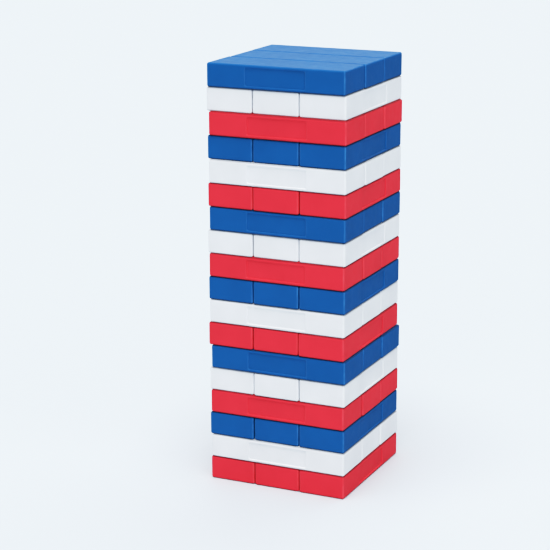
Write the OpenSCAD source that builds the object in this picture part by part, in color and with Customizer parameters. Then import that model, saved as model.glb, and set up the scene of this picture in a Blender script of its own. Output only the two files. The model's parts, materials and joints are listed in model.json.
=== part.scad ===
// Giant tumbling tower: three hollow plastic blocks to a layer, each layer laid across the one below.
// Millimetres, +Z up, the front at -Y. The origin is on the ground, under the middle of the tower.

/* [Block] */
// Length of a block
block_length = 184; // [130:1:300]
// Width of a block, about a third of its length
block_width = 61.3; // [40:0.1:100]
// Height of a block
block_height = 30; // [20:1:60]
// Rounding of every outer edge of a block
edge_radius = 2.5; // [0.5:0.1:6]
// Thickness of the moulded wall round the hollow
wall = 2; // [1:0.1:4]

/* [Side panel] */
// Length of the sunken panel in each long side of a block
panel_length = 80; // [30:1:110]
// Plain border above and below the panel
panel_border = 3.5; // [1:0.1:7]
// Depth of the panel
panel_depth = 1.2; // [0.4:0.1:3]
// Rounding of the panel's corners
panel_corner = 2; // [0.5:0.1:5]

/* [Tower] */
// Number of layers, the blocks of each lying across those of the layer below
layer_count = 18; // [2:1:20]
// Gap between blocks that lie side by side
side_gap = 1; // [0.3:0.1:4]

/* [Hidden] */
// Three blocks to a layer, counted from the left or from the front
PLACES = [0, 1, 2];
middle_place = 1;
// The two kinds of layer: blocks with their ends to the front, and blocks along the front
END_ON_PLACES = ["left", "middle", "right"];
ALONG_PLACES = ["front", "middle", "back"];
// Colours of the layers from the ground up, over and over
COLOURS = ["crimson", "white", "royalblue"];
// How far each layer was set out of line by hand, from the ground up, to the right and to the back
layer_slip_x = [0.5, 0.5, -0.5, 0.5, -0.5, 1.5, -1, -0.5, -0.5, 0, -1, 0, 0, 1, -0.5, 1, -1, 0];
layer_slip_y = [-1, 0, 0, 0.5, 0, 0, -1, 0.5, -1, 0, 0.5, 0, -1, -0.5, 0, -1, 0.5, -0.5];
// How far single blocks stand out of their layer lengthwise, taken in turn
end_slips = [0, 0.6, -0.4, 0.3, 0, -0.6, 0.5];

// Least rounding inside the hollow, where the wall is thicker than the edges are round
inner_rounding = 0.5;
// The panel's corners stay round however low the panel is
least_panel_share = 1 / 3;
panel_height = block_height - 2 * panel_border;
panel_rounding = min(panel_corner, panel_height * least_panel_share);
// From one block of a layer to the next
block_pitch = block_width + side_gap;
$fn = 48;

// Odd layers have their block ends to the front
function is_end_on(layer) = layer % 2 == 1;
function slip_of(slips, layer) = slips[(layer - 1) % len(slips)];
function end_slip(layer, place) = end_slips[(3 * layer + place) % len(end_slips)];

// Where a block's middle lies as stacked, and how far it reaches each way from there
function stacked_at(layer, place) =
    let (
        across = (place - middle_place) * block_pitch,
        along = end_slip(layer, place),
        slip = [slip_of(layer_slip_x, layer), slip_of(layer_slip_y, layer)]
    )
    slip + (is_end_on(layer) ? [across, along] : [along, across]);
function half_size(layer) =
    is_end_on(layer) ? [block_width, block_length] / 2 : [block_length, block_width] / 2;

// The tower's box is centred on the origin, so the middle of what was stacked is taken off
LAYERS = [for (layer = [1:layer_count]) layer];
high_corners = [for (layer = LAYERS, place = PLACES) stacked_at(layer, place) + half_size(layer)];
low_corners = [for (layer = LAYERS, place = PLACES) stacked_at(layer, place) - half_size(layer)];
function column(corners, axis) = [for (corner = corners) corner[axis]];
function middle_of(axis) = (max(column(high_corners, axis)) + min(column(low_corners, axis))) / 2;
stack_middle = [middle_of(0), middle_of(1)];

// A block's name tells its layer, counted from the ground, and its place in the layer
function two_digits(number) = str(number < 10 ? "0" : "", number);
function place_name(layer, place) = (is_end_on(layer) ? END_ON_PLACES : ALONG_PLACES)[place];
function block_name(layer, place) = str("layer_", two_digits(layer), "_", place_name(layer, place), "_block");

module rounded_rectangle(length, width, radius) {
    square([length - 2 * radius, width], center = true);
    square([length, width - 2 * radius], center = true);
    for (x = [-1, 1], y = [-1, 1])
        translate([x * (length / 2 - radius), y * (width / 2 - radius)])
            circle(radius);
}

// A box with all twelve edges rounded: three rounded bars crossed
module rounded_box(length, width, height, radius) {
    intersection() {
        linear_extrude(height, center = true)
            rounded_rectangle(length, width, radius);
        rotate([90, 0, 0])
            linear_extrude(width, center = true)
                rounded_rectangle(length, height, radius);
        rotate([90, 0, 90])
            linear_extrude(length, center = true)
                rounded_rectangle(width, height, radius);
    }
}

module at_both_sides() {
    for (side = [-1, 1])
        translate([0, side * block_width / 2, 0])
            children();
}

module side_panel() {
    rotate([90, 0, 0])
        linear_extrude(2 * panel_depth, center = true)
            rounded_rectangle(panel_length, panel_height, panel_rounding);
}

// The sealed hollow, which steps in behind each side panel so that the wall keeps its thickness
module hollow() {
    difference() {
        rounded_box(block_length - 2 * wall, block_width - 2 * wall, block_height - 2 * wall,
            max(edge_radius - wall, inner_rounding));
        at_both_sides()
            cube([panel_length + 2 * wall, 2 * (panel_depth + wall), block_height], center = true);
    }
}

// One moulding, lying along X with its middle at the origin
module moulded_block() {
    difference() {
        rounded_box(block_length, block_width, block_height, edge_radius);
        at_both_sides()
            side_panel();
        hollow();
    }
}

module block(layer, place) {
    color(COLOURS[(layer - 1) % len(COLOURS)])
        translate(concat(stacked_at(layer, place) - stack_middle, (layer - 0.5) * block_height))
            rotate(is_end_on(layer) ? 90 : 0)
                moulded_block();
}

for (layer = LAYERS, place = PLACES)
    block(layer, place);
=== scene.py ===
# %% [markdown]
# # A giant tumbling tower of hollow plastic blocks
#
# The object is a lawn game: 54 blow-moulded plastic blocks, stacked three to a layer, each layer lying
# across the one below. The layers are red, white and blue in turn.
#
# The exact sizes, and the way each block slides out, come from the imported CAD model. This script loads it
# as a fixed frame and models the blocks again in Blender, where a moulded edge can be softened and a real
# plastic finish can be mixed. First come the imports, the frame, and the size of the whole model as CAD
# has it.

# %% Load the frame
import json
import math

import bmesh
import bpy
from mathutils import Euler, Matrix, Vector


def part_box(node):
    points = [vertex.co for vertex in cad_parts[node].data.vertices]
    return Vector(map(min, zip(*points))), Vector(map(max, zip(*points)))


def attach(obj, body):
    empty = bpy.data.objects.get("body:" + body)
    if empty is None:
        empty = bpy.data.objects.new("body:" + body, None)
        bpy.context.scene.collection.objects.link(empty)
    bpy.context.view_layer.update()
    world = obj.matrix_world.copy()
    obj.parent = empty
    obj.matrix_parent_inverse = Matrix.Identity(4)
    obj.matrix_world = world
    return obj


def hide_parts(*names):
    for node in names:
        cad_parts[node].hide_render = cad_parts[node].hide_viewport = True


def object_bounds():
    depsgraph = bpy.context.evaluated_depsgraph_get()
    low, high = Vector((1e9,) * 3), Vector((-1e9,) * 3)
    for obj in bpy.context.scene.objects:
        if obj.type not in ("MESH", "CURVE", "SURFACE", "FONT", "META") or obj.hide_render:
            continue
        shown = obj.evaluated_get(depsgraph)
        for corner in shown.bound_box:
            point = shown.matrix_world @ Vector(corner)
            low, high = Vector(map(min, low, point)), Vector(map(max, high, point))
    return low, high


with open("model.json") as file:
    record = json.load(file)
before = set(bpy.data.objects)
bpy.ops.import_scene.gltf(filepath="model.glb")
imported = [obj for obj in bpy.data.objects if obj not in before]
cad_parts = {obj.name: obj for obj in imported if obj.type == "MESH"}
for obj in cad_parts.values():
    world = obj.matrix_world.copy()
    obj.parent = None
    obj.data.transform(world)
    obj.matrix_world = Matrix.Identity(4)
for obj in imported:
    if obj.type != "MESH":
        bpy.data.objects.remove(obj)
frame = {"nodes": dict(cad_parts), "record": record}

MM = 0.001
cad_low, cad_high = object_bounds()
print(len(frame["nodes"]), "blocks in CAD, from", tuple(cad_low), "to", tuple(cad_high))

# %% [markdown]
# ## The camera
#
# The camera comes first, because every later choice is judged through it. It stands a little over two
# metres from the tower and to its right, and looks slightly down, so that two sides and the top of the
# tower show.
#
# A Blender camera looks along its own -Z. Tilting it up from straight down by 90 degrees makes it look
# level, so the tilt is 90 degrees less the angle that it looks down. A long lens, far away, keeps the
# tower's upright edges nearly parallel, as in a catalogue. The roll is the last small turn about the line
# of sight.

# %% Camera
CAMERA_PLACE = Vector((0.9028, -2.031, 0.8469))
LOOKS_DOWN = math.radians(14.81)
TURNED_LEFT = math.radians(24.996)
ROLL = math.radians(-0.142)
LENS_MM = 117.12
SENSOR_MM = 36

bpy.ops.object.select_all(action="DESELECT")
bpy.ops.object.camera_add(location=CAMERA_PLACE)
camera = bpy.context.object
camera.name = "camera"
aim = Euler((math.pi / 2 - LOOKS_DOWN, 0, TURNED_LEFT)).to_matrix() @ Matrix.Rotation(ROLL, 3, "Z")
camera.rotation_euler = aim.to_euler()
camera.data.sensor_width = SENSOR_MM
camera.data.lens = LENS_MM
camera.data.dof.use_dof = False
bpy.context.scene.camera = camera
tower_middle = (cad_low + cad_high) / 2
print("the camera is", round((CAMERA_PLACE - tower_middle).length, 2), "m from the tower's middle")

# %% [markdown]
# ## One block, to be copied
#
# All 54 blocks come from one mould, so one block is modelled with care and then copied. It lies along X
# with its middle at the origin. Its sizes are read from a CAD node, so that a change in CAD reaches the
# block here.
#
# A block could be made from the CAD mesh itself, but that is loose triangles with hard creases where the
# rounded edges meet the walls. A cube shaped by hand gives clean quads that a bevel can round.

# %% The plain box
first_low, first_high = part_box("layer_02_front_block")
BLOCK_LENGTH, BLOCK_WIDTH, BLOCK_HEIGHT = first_high - first_low

bpy.ops.object.select_all(action="DESELECT")
bpy.ops.mesh.primitive_cube_add(size=1, location=(0, 0, 0))
block = bpy.context.object
block.name = "block_from_the_mould"
block.scale = (BLOCK_LENGTH, BLOCK_WIDTH, BLOCK_HEIGHT)
bpy.ops.object.transform_apply(location=False, rotation=False, scale=True)
print("a block is", [round(side / MM, 1) for side in block.dimensions], "mm")

# %% [markdown]
# Edit mode works on whatever is selected, so a helper picks faces, edges or corners by a rule about where
# they are. The rule is any function that says yes or no, which reads better than a list of face numbers
# and still holds when an earlier step adds faces.

# %% Pick parts of the mesh by a rule
PARTS = {"VERT": "verts", "EDGE": "edges", "FACE": "faces"}


def pick(kind, rule):
    bpy.ops.mesh.select_mode(type=kind)
    bpy.ops.mesh.select_all(action="DESELECT")
    mesh = bmesh.from_edit_mesh(block.data)
    chosen = [part for part in getattr(mesh, PARTS[kind]) if rule(part)]
    for part in chosen:
        part.select_set(True)
    mesh.select_flush_mode()
    bmesh.update_edit_mesh(block.data)
    return len(chosen)


def near(value, target, slack=0.01 * MM):
    return abs(abs(value) - target) < slack


# %% [markdown]
# ## Rounded edges
#
# Blown plastic can't fill a sharp corner of its mould, so every edge of a block is round. All twelve
# edges get one bevel while the box has no other edges yet, with enough steps to look round from close by.
# Bevelling a box that already has details on its sides would make the bevel run into them.

# %% Round the twelve outer edges
EDGE_RADIUS = 2.5 * MM
EDGE_STEPS = 6

bpy.ops.object.mode_set(mode="EDIT")
bpy.ops.mesh.select_all(action="SELECT")
bpy.ops.mesh.bevel(offset=EDGE_RADIUS, segments=EDGE_STEPS, profile=0.5)
print("edges rounded to", EDGE_RADIUS / MM, "mm:", len(bmesh.from_edit_mesh(block.data).faces), "faces")

# %% [markdown]
# The walls are then cut into a grid. A wall of one face can't bend, and the walls of a real hollow block
# sink a little as the plastic cools. Each cut is a bisect with a plane across the whole block. Two of the
# cuts across the length fall just outside the sunken side panel, where its outline will be inset from.

# %% Cut the walls into a grid
PANEL_LENGTH = 80 * MM
PANEL_BORDER = 3.5 * MM
CUTS_TO_PANEL_END = 4
CUTS_TO_EACH_END = 8
CUTS_TO_EACH_SIDE = 3
SIDE_CUT_STEP = 9 * MM

outline_inset = PANEL_BORDER - EDGE_RADIUS
end_cut_step = (PANEL_LENGTH / 2 + outline_inset) / CUTS_TO_PANEL_END
cuts = [((cut * end_cut_step, 0, 0), (1, 0, 0)) for cut in range(-CUTS_TO_EACH_END, CUTS_TO_EACH_END + 1)]
cuts += [((0, cut * SIDE_CUT_STEP, 0), (0, 1, 0)) for cut in range(-CUTS_TO_EACH_SIDE, CUTS_TO_EACH_SIDE + 1)]

for place, direction in cuts:
    bpy.ops.mesh.select_all(action="SELECT")
    bpy.ops.mesh.bisect(plane_co=place, plane_no=direction)
print(len(cuts), "cuts made:", len(bmesh.from_edit_mesh(block.data).faces), "faces")

# %% [markdown]
# ## The sunken panel in each long side
#
# The long narrow sides of a real block carry a shallow sunken panel in the middle. It stiffens the wall
# and gives fingers some grip. It could be cut with a boolean, but an inset keeps the grid whole: the flat
# faces in the middle are inset a little, and what is left inside is the panel's outline.
#
# A second inset, with a depth, then pushes the panel in along the faces' own normals, so both sides of
# the block are done at once. It also shrinks the panel's floor, because the mould needs a slight slope on
# the panel's walls, or the block would stick in it.

# %% Sink the panels
PANEL_DEPTH = 1.2 * MM
PANEL_SLOPE = 0.45 * MM
SQUARE_ON = 0.999
panel_top = BLOCK_HEIGHT / 2 - PANEL_BORDER
panel_floor_y = BLOCK_WIDTH / 2 - PANEL_DEPTH


def on_the_flat_of_a_long_side(face):
    return abs(face.normal.y) > SQUARE_ON


pick("FACE", lambda face: on_the_flat_of_a_long_side(face)
     and abs(face.calc_center_median().x) < PANEL_LENGTH / 2 + outline_inset)
bpy.ops.mesh.inset(thickness=outline_inset, use_boundary=True)
bpy.ops.mesh.inset(thickness=PANEL_SLOPE, depth=-PANEL_DEPTH, use_boundary=True)
print("panels of", PANEL_LENGTH / MM, "mm sunk by", PANEL_DEPTH / MM, "mm")

# %% [markdown]
# The panel's corners are rounded by bevelling the short edges that run down its corners, from the rim to
# the floor. The rims themselves get a much smaller bevel. It is what draws the thin light line and the
# thin dark line that show where a panel begins.

# %% Round the panels' corners and soften their rims
PANEL_CORNER = 2 * MM
CORNER_STEPS = 5
RIM_RADIUS = 0.4 * MM
RIM_STEPS = 2
FLAT_BELOW = math.radians(12)


def goes_down_a_panel_corner(edge):
    rim, foot = sorted((corner.co for corner in edge.verts), key=lambda place: -abs(place.y))
    return (near(rim.x, PANEL_LENGTH / 2) and near(rim.z, panel_top)
            and near(rim.y, BLOCK_WIDTH / 2) and near(foot.y, panel_floor_y))


def is_rim(edge):
    levels = (BLOCK_WIDTH / 2, panel_floor_y)
    return edge.calc_face_angle() > FLAT_BELOW and any(
        all(near(corner.co.y, level) and abs(corner.co.x) < end_cut_step * CUTS_TO_PANEL_END
            and abs(corner.co.z) < panel_top + outline_inset / 2 for corner in edge.verts)
        for level in levels)


corners = pick("EDGE", goes_down_a_panel_corner)
bpy.ops.mesh.bevel(offset=PANEL_CORNER, segments=CORNER_STEPS, profile=0.5)
rims = pick("EDGE", is_rim)
bpy.ops.mesh.bevel(offset=RIM_RADIUS, segments=RIM_STEPS, profile=0.5)
print(corners, "panel corners rounded and", rims, "stretches of rim softened")

# %% [markdown]
# ## Walls that have sunk as they cooled
#
# Nothing holds up the middle of a hollow block's big walls, so they sink by a few tenths of a millimetre.
# It can't be seen straight on, but it breaks up the reflections, and a wall that is perfectly flat looks
# like card. The middle row of each wall is moved with proportional editing, which carries its neighbours
# along less and less. The faces round the rounded edges are hidden meanwhile, so that they stay where
# they are.

# %% Sink the top and bottom walls
WALL_SINK = 0.35 * MM
SINK_REACH = 26 * MM
STIFF_END = 30 * MM
SPINE_HALF = BLOCK_LENGTH / 2 - STIFF_END

for up in (1, -1):
    pick("FACE", lambda face: face.normal.z * up > SQUARE_ON)
    bpy.ops.mesh.hide(unselected=True)
    spine = pick("VERT", lambda corner: not corner.hide and near(corner.co.y, 0)
                 and abs(corner.co.x) < SPINE_HALF and corner.co.z * up > 0)
    bpy.ops.transform.translate(
        value=(0, 0, -up * WALL_SINK), use_proportional_edit=True, proportional_edit_falloff="SMOOTH",
        proportional_size=SINK_REACH)
    bpy.ops.mesh.reveal(select=False)
    print(spine, "points along the middle of a wall moved by", WALL_SINK / MM, "mm")

# %% [markdown]
# The block is ready to shade. Its normals are all pointed outwards first. Then everything is shaded
# smooth, except across any edge that turns by more than the angle given. Weighted normals let the big flat
# faces rule the shading of the small ones beside them, so the walls look flat right up to their round
# edges.

# %% Finish the master block's mesh
SMOOTH_BELOW = math.radians(40)

bpy.ops.mesh.select_all(action="SELECT")
bpy.ops.mesh.normals_make_consistent(inside=False)
bpy.ops.object.mode_set(mode="OBJECT")
bpy.ops.object.shade_smooth_by_angle(angle=SMOOTH_BELOW)
flatter = block.modifiers.new("walls_shade_flat", "WEIGHTED_NORMAL")
flatter.keep_sharp = True
bpy.ops.object.modifier_apply(modifier=flatter.name)
measured = [round(side / MM, 2) for side in block.dimensions]
print("the block has", len(block.data.polygons), "faces and measures", measured, "mm")

# %% [markdown]
# ## Where the edges are painted lighter
#
# The edges are painted lighter than the walls, partly as wear and partly as a painted highlight. The
# blocks are pulled out, dropped on the lawn and stacked again, which rubs their edges lighter than the
# walls. On a new set the same thin line is only the shine of a round edge, and that part is a painted
# highlight. The upright edges at a block's ends and the ends of its side panels get the most of it; at the
# panel ends it is a painted highlight on the rim. The long edges lie against the next layer, which shelters
# them. So the finish has to know where a point lies on the block.
#
# The mesh carries that as an attribute: one number for each of its points, which a material can read. It
# could be worked out in the shader from the place of the point, but an attribute stays true when a block
# is turned. The number is squared, so that it falls off fast on either side of the edge and leaves a
# narrow line.

# %% Mark the rubbed edges
WEAR_AND_HIGHLIGHT = "edge_wear_and_highlight"
LYING_EDGE_SHARE = 0.1
PANEL_END_SHARE = 0.4
PANEL_END_REACH = 0.6 * MM
MOSTLY_LIGHTENED = 0.7
HALF_SIDES = (BLOCK_LENGTH / 2, BLOCK_WIDTH / 2, BLOCK_HEIGHT / 2)


def round_an_edge(place):
    """How far round the edges a point is on each axis, from 0 at the end of the flat wall to 1 outermost."""
    shares = [(abs(along) - half + EDGE_RADIUS) / EDGE_RADIUS for along, half in zip(place, HALF_SIDES)]
    return [min(1, max(0, share)) for share in shares]


# The lighter edge colour is partly wear and partly a painted highlight, the shine of a round edge painted in.
def edge_wear_and_highlight(place):
    """0 on a wall, and 1 halfway round an upright edge, where two sides of the block stand out as far."""
    out_x, out_y, out_z = round_an_edge(place)
    upright = min(out_x, out_y)
    lying = min(max(out_x, out_y), out_z)
    wear_and_highlight = (max(upright, LYING_EDGE_SHARE * lying) / math.sin(math.pi / 4)) ** 2
    at_a_panel_end = abs(abs(place.x) - PANEL_LENGTH / 2) < PANEL_END_REACH and abs(place.z) < panel_top
    near_the_rim = BLOCK_WIDTH / 2 - abs(place.y) < RIM_RADIUS
    # At the ends of the side panels the lighter rim is a painted highlight.
    if at_a_panel_end and near_the_rim:
        wear_and_highlight = max(wear_and_highlight, PANEL_END_SHARE)
    return min(1, wear_and_highlight)


# Each point's share of the lighter edge colour, part wear and part painted highlight.
wear_and_highlights = [edge_wear_and_highlight(corner.co) for corner in block.data.vertices]
block.data.attributes.new(WEAR_AND_HIGHLIGHT, "FLOAT", "POINT").data.foreach_set("value", wear_and_highlights)
print(sum(wear_and_highlight > MOSTLY_LIGHTENED for wear_and_highlight in wear_and_highlights), "of", len(wear_and_highlights), "points are lightened most")

# %% [markdown]
# ## The dark line between two layers
#
# The round edges of two layers leave a groove all round the tower, and it shows as a thin dark line. In a
# hard light its own shadow would draw it, but wide soft lamps shine into it. So the edges that lie in a
# groove get a deeper tone of their own colour: painted shade, which stands in for the groove's shadow, and
# it stays on a block that is drawn out. A second attribute says where: not on the wall, fully from halfway
# round the edge inwards, and not on the big faces, which lie flat on each other.

# %% Mark the edges that lie in a groove
GROOVE_SHADE = "painted_groove_shade"
# How deep the painted shade in a groove goes, as a share of the deeper colour.
DEEPEST = 0.75
TONE_STARTS = math.radians(15)
TONE_IS_FULL = math.radians(45)
FACE_STARTS = math.radians(80)


def painted_groove_shade(place):
    """Painted shade: 0 on a wall or a big face, and up to DEEPEST on the round edges above and below a wall.
    """
    out_x, out_y, out_z = round_an_edge(place)
    turned_up = math.atan2(out_z, math.hypot(out_x, out_y))
    if turned_up > FACE_STARTS:
        return 0
    return DEEPEST * min(1, max(0, (turned_up - TONE_STARTS) / (TONE_IS_FULL - TONE_STARTS)))


# Each point's share of the painted shade in the grooves.
painted_groove_shades = [painted_groove_shade(corner.co) for corner in block.data.vertices]
block.data.attributes.new(GROOVE_SHADE, "FLOAT", "POINT").data.foreach_set("value", painted_groove_shades)
print(sum(tone > 0 for tone in painted_groove_shades), "of", len(painted_groove_shades), "points lie in a groove")

# %% [markdown]
# ## The finish: satin polyethylene in three colours
#
# Toys like this are blown from high-density polyethylene, HDPE, the waxy plastic of milk bottles. The
# pigment is stirred into the melt, so the colour goes right through, with faint clouds where it isn't
# spread quite evenly.
#
# Two helpers come first. Colours are chosen as hex values, as on a screen, and Blender's shaders work
# with linear light, so one function turns a hex colour into linear numbers. The other adds a node, sets
# it up and links it. Some nodes, such as Mix, have a set of sockets for each kind of data and show just
# one set, so it takes the first socket of a name that is in use.

# %% Two helpers for the finishes


def linear(hex_colour):
    shares = [int(hex_colour[start:start + 2], 16) / 255 for start in (1, 3, 5)]
    return (*(s / 12.92 if s <= 0.04045 else ((s + 0.055) / 1.055) ** 2.4 for s in shares), 1)


def add_node(tree, kind, settings, **sources):
    """Adds a node, with values for its settings and sockets, and what feeds its sockets."""
    node = tree.nodes.new(kind)
    own = {name: value for name, value in settings.items() if hasattr(node, name)}
    for name, value in own.items():
        setattr(node, name, value)
    in_use = {socket.name: socket for socket in reversed(node.inputs) if socket.enabled}
    for name, value in settings.items():
        if name not in own:
            in_use[name].default_value = value
    for name, source in sources.items():
        if isinstance(source, bpy.types.Node):
            source = next(output for output in source.outputs if output.enabled)
        tree.links.new(source, in_use[name.replace("_", " ")])
    return node


# %% [markdown]
# What the finish is made of, from large to small:
#
# - Pigment clouds some 45 mm wide, which change the colour by a few hundredths.
# - Edges painted lighter, partly as wear and partly as a painted highlight, broken up by patches, since no
#   two edges are rubbed alike.
# - Painted shade, a deeper tone, on the edges that lie in a groove.
# - Gentle waves some 14 mm wide, from plastic that shrinks unevenly as it cools. They stir the soft
#   highlights.
# - The grain of a mould blasted with grit, usually about 0.3 mm wide and too fine to show from two metres
#   away. It is drawn five times as coarse, so that it still shows from close by.
#
# All patterns read Object coordinates. A block's place is in its mesh, so each block gets its own part of
# a pattern, and no two look the same. A noise of scale 1 has features about a metre wide, so a scale is
# one over a real size.
#
# HDPE has an index of refraction of 1.54. Its grain scatters most of what it mirrors, so the roughness is
# near the middle of its range. The specular level is matched to the object in this light. It is well below
# the usual 0.5, and below what real HDPE has. That leaves the soft bloom on the top of the tower, where
# light from behind skims it, and leaves the sides deep and even in colour.

# %% The satin finish
CLOUD_WIDTH = 45 * MM
PATCH_WIDTH = 12 * MM
WAVE_WIDTH = 14 * MM
WAVE_HEIGHT = 0.12 * MM
GRAIN_WIDTH = 1.5 * MM
GRAIN_HEIGHT = 0.11 * MM
CLOUD_TINT = 0.035
HDPE_IOR = 1.54
SPECULAR = 0.113
SMOOTHEST = 0.42
ROUGHEST = 0.5
NOISE_LOWEST = 0.2
NOISE_LOW = 0.35
NOISE_HIGH = 0.65


def tinted(colour, share):
    return (*(channel * (1 + share) for channel in colour[:3]), 1)


def satin_plastic(name, hex_colour, wear_and_highlight_hex, groove_shade_hex):
    material = bpy.data.materials.new(name)
    material.use_nodes = True
    tree = material.node_tree
    tree.nodes.clear()
    colour = linear(hex_colour)
    spot = add_node(tree, "ShaderNodeTexCoord", {}).outputs["Object"]

    clouds = add_node(tree, "ShaderNodeTexNoise", {"Scale": 1 / CLOUD_WIDTH, "Detail": 2}, Vector=spot)
    cloudy = add_node(tree, "ShaderNodeMapRange", {"From Min": NOISE_LOW, "From Max": NOISE_HIGH},
                      Value=clouds)
    body = add_node(tree, "ShaderNodeMix", {
        "data_type": "RGBA", "A": tinted(colour, -CLOUD_TINT), "B": tinted(colour, CLOUD_TINT)},
        Factor=cloudy)

    # The lighter edge colour, part wear and part painted highlight, mixed in where the attribute says.
    wear_and_highlight = add_node(tree, "ShaderNodeAttribute", {"attribute_name": WEAR_AND_HIGHLIGHT}).outputs["Fac"]
    patches = add_node(tree, "ShaderNodeTexNoise", {"Scale": 1 / PATCH_WIDTH, "Detail": 3}, Vector=spot)
    patchy = add_node(tree, "ShaderNodeMapRange", {"From Min": NOISE_LOWEST, "From Max": NOISE_HIGH},
                      Value=patches, To_Max=wear_and_highlight)
    worn_and_highlit = add_node(tree, "ShaderNodeMix", {"data_type": "RGBA", "B": linear(wear_and_highlight_hex)},
                    Factor=patchy, A=body)

    # Painted shade: the deeper groove colour, which stands in for the shadow in the grooves between layers.
    groove = add_node(tree, "ShaderNodeAttribute", {"attribute_name": GROOVE_SHADE}).outputs["Fac"]
    groove_shaded = add_node(tree, "ShaderNodeMix", {"data_type": "RGBA", "B": linear(groove_shade_hex)},
                     Factor=groove, A=worn_and_highlit)

    gloss = add_node(tree, "ShaderNodeMapRange", {
        "From Min": NOISE_LOW, "From Max": NOISE_HIGH, "To Min": SMOOTHEST, "To Max": ROUGHEST},
        Value=patches)

    waves = add_node(tree, "ShaderNodeTexNoise", {"Scale": 1 / WAVE_WIDTH, "Detail": 1}, Vector=spot)
    wavy = add_node(tree, "ShaderNodeBump", {"Distance": WAVE_HEIGHT}, Height=waves)
    grain = add_node(tree, "ShaderNodeTexNoise", {"Scale": 1 / GRAIN_WIDTH, "Detail": 2}, Vector=spot)
    grainy = add_node(tree, "ShaderNodeBump", {"Distance": GRAIN_HEIGHT}, Height=grain, Normal=wavy)

    shader = add_node(tree, "ShaderNodeBsdfPrincipled", {"IOR": HDPE_IOR, "Specular IOR Level": SPECULAR},
                      Base_Color=groove_shaded, Roughness=gloss, Normal=grainy)
    add_node(tree, "ShaderNodeOutputMaterial", {}, Surface=shader)
    return material


# %% [markdown]
# Red, white and blue differ only in pigment. Each has its own colour, the paler one of its edges, which is
# part wear and part painted highlight, and the deeper one of the painted shade in its grooves. The white
# is slightly blue, as whitened plastic is, and the lighter edge hardly shows on it.

# %% Mix the three plastics
PLASTICS = {
    "red_plastic": satin_plastic("satin_hdpe_red", "#E43745", "#EC5862", "#6E1420"),
    "white_plastic": satin_plastic("satin_hdpe_white", "#E8EBF0", "#F6F9FC", "#8E959D"),
    "blue_plastic": satin_plastic("satin_hdpe_blue", "#145B97", "#4080BE", "#08284A"),
}
COLOURS_FROM_THE_GROUND = ("red_plastic", "white_plastic", "blue_plastic")
print("three finishes, with", len(PLASTICS["red_plastic"].node_tree.nodes), "nodes each")

# %% [markdown]
# ## Stack the tower
#
# The block is copied to each CAD block's place. A node's box gives the place, and whether its long side
# runs to the left and right or to the back. Each copy gets its own mesh, with the turn and the place put
# into the mesh, and its object stays at the origin. The colour follows from the layer, which the node's
# name gives. Nothing lies on the top layer, so its upper edges make no groove and get no painted shade.
#
# Each copy stands for its CAD node, which is hidden, and rides on the CAD body that the node belongs to.
# So a block that is drawn from the tower takes its copy along.

# %% Copy the block to its 54 places


def layer_of(node):
    return int(node.split("_")[1])


# The painted groove shade is taken off the upper edges of the top layer.
def clear_upper_edges(piece):
    for corner, tone in zip(piece.data.vertices, piece.data.attributes[GROOVE_SHADE].data):
        if corner.co.z > 0:
            tone.value = 0


def place_in_tower(node):
    low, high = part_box(node)
    runs_to_the_back = high.y - low.y > high.x - low.x
    turn = Matrix.Rotation(math.pi / 2 if runs_to_the_back else 0, 4, "Z")
    return Matrix.Translation((low + high) / 2) @ turn


TOP_LAYER = max(layer_of(node) for node in frame["nodes"])
for body, nodes in frame["record"]["behaviour"]["bodies"].items():
    for node in nodes:
        layer = layer_of(node)
        slot = COLOURS_FROM_THE_GROUND[(layer - 1) % len(COLOURS_FROM_THE_GROUND)]
        piece = block.copy()
        piece.data = block.data.copy()
        piece.name = "moulded_" + node
        if layer == TOP_LAYER:
            clear_upper_edges(piece)
        piece.data.transform(place_in_tower(node))
        piece.data.materials.append(PLASTICS[slot])
        bpy.context.scene.collection.objects.link(piece)
        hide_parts(node)
        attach(piece, body)
bpy.data.objects.remove(block)

# %% [markdown]
# ## The floor
#
# The tower stands on a wide sheet of pale paper, matt enough to mirror nothing. It reaches so far that
# its edge is never seen, and takes soft shadows that hold the tower to the ground.
#
# A floor this bright would lay a grey sheen over the sides of the blocks. In a studio a polarising filter
# takes such a sheen away. Here the floor is hidden from glossy rays, so the blocks are lit by it but
# don't mirror it.

# %% Lay the floor
FLOOR_SIZE = 60
PAPER_ROUGHNESS = 0.9
PAPER_SPECULAR = 0.1

bpy.ops.object.select_all(action="DESELECT")
bpy.ops.mesh.primitive_plane_add(size=FLOOR_SIZE, location=(0, 0, 0))
floor = bpy.context.object
floor.name = "floor"
paper = bpy.data.materials.new("matt_paper")
paper.use_nodes = True
paper.node_tree.nodes.clear()
paper_shader = add_node(paper.node_tree, "ShaderNodeBsdfPrincipled", {
    "Base Color": linear("#C6D1DA"), "Roughness": PAPER_ROUGHNESS,
    "Specular IOR Level": PAPER_SPECULAR})
add_node(paper.node_tree, "ShaderNodeOutputMaterial", {}, Surface=paper_shader)
floor.data.materials.append(paper)
floor.visible_glossy = False
print("floor", [round(side) for side in floor.dimensions[:2]], "m")

# %% [markdown]
# ## The light
#
# Soft light can come from large lamps close by, but those light the near floor far more than the rest of
# it. A sun lamp with a very wide angle is as soft, and as even as a large studio: it has no distance to
# fall off with.
#
# Five of them stand for the studio's lamps. The strongest hangs overhead and lights the floor and the
# top. Two stand lower, one nearly in front and one to the right, and their strengths set how bright the
# front is against the right side. They stay low, because a lamp high in front shines into the grooves and
# draws light lines there. One behind the tower evens out its top. The last is the glow of the backdrop,
# low behind the tower, which skims the top and gives it its pale bloom.
#
# The world has two strengths. It fills the shadows weakly, so that they keep their depth, but the camera
# sees it as bright as the floor. Without that a grey horizon would show where the floor ends. The Light
# Path node tells the camera's rays from the others.

# %% Light the studio
FILL = 0.22
BACKDROP = 1.15
LAMP_DISTANCE = 3

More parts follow.
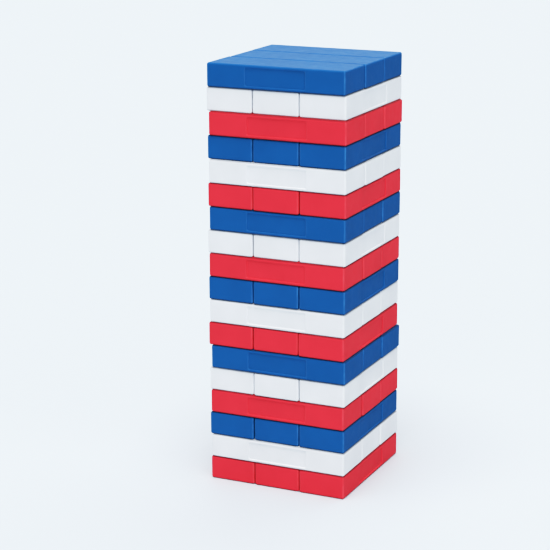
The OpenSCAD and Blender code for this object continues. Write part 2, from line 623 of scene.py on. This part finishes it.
bpy.context.scene.world = bpy.data.worlds.new("studio")
bpy.context.scene.world.use_nodes = True
room = bpy.context.scene.world.node_tree
room.nodes.clear()
seen = add_node(room, "ShaderNodeLightPath", {}).outputs["Is Camera Ray"]
level = add_node(room, "ShaderNodeMapRange", {"To Min": FILL, "To Max": BACKDROP}, Value=seen)
wall = add_node(room, "ShaderNodeBackground", {"Color": linear("#F2F9FF")}, Strength=level)
add_node(room, "ShaderNodeOutputWorld", {}, Surface=wall)


def soft_lamp(name, azimuth, elevation, spread, strength):
    """Azimuth 0 shines from the front and 90 from the right. Spread is how wide the light is. In degrees."""
    around, up = math.radians(azimuth), math.radians(elevation)
    towards = Vector((math.sin(around) * math.cos(up), -math.cos(around) * math.cos(up), math.sin(up)))
    bpy.ops.object.light_add(type="SUN", location=towards * LAMP_DISTANCE)
    lamp = bpy.context.object
    lamp.name = name
    lamp.rotation_euler = towards.to_track_quat("Z", "Y").to_euler()
    lamp.data.angle = math.radians(spread)
    lamp.data.energy = strength
    print(name, "of strength", strength, "from", azimuth, "degrees round and", elevation, "degrees up")


soft_lamp("overhead", azimuth=0, elevation=80, spread=40, strength=3.5)
soft_lamp("front_right", azimuth=20, elevation=28, spread=50, strength=0.78)
soft_lamp("right", azimuth=70, elevation=28, spread=50, strength=0.44)
soft_lamp("behind", azimuth=180, elevation=50, spread=60, strength=1.15)
soft_lamp("backdrop_glow", azimuth=205, elevation=18, spread=50, strength=0.3)

# %% [markdown]
# ## The tones of the picture
#
# A camera doesn't show light as it is. It deepens the dark tones, and squeezes the brightest ones so that
# white things keep their shape. Blender's Standard view does neither, and would show the white layers as
# a flat glare. A curve over it does both. Each point gives the light in the scene and the light that is
# shown for it.

# %% Bend the tones
BRIGHTEST = 1.8
ALL_CHANNELS = 3
TONES = ((0.03, 0.02), (0.07, 0.055), (0.13, 0.118), (0.22, 0.235), (0.4, 0.455), (0.7, 0.715), (1, 0.855),
         (1.3, 0.945))

view = bpy.context.scene.view_settings
view.view_transform = "Standard"
view.use_curve_mapping = True
view.curve_mapping.white_level = (BRIGHTEST, BRIGHTEST, BRIGHTEST)
every_channel = view.curve_mapping.curves[ALL_CHANNELS]
for light, shown in TONES:
    every_channel.points.new(light / BRIGHTEST, shown)
view.curve_mapping.update()
print("light of", BRIGHTEST, "and more shows as full white, and", len(TONES), "points bend the curve")
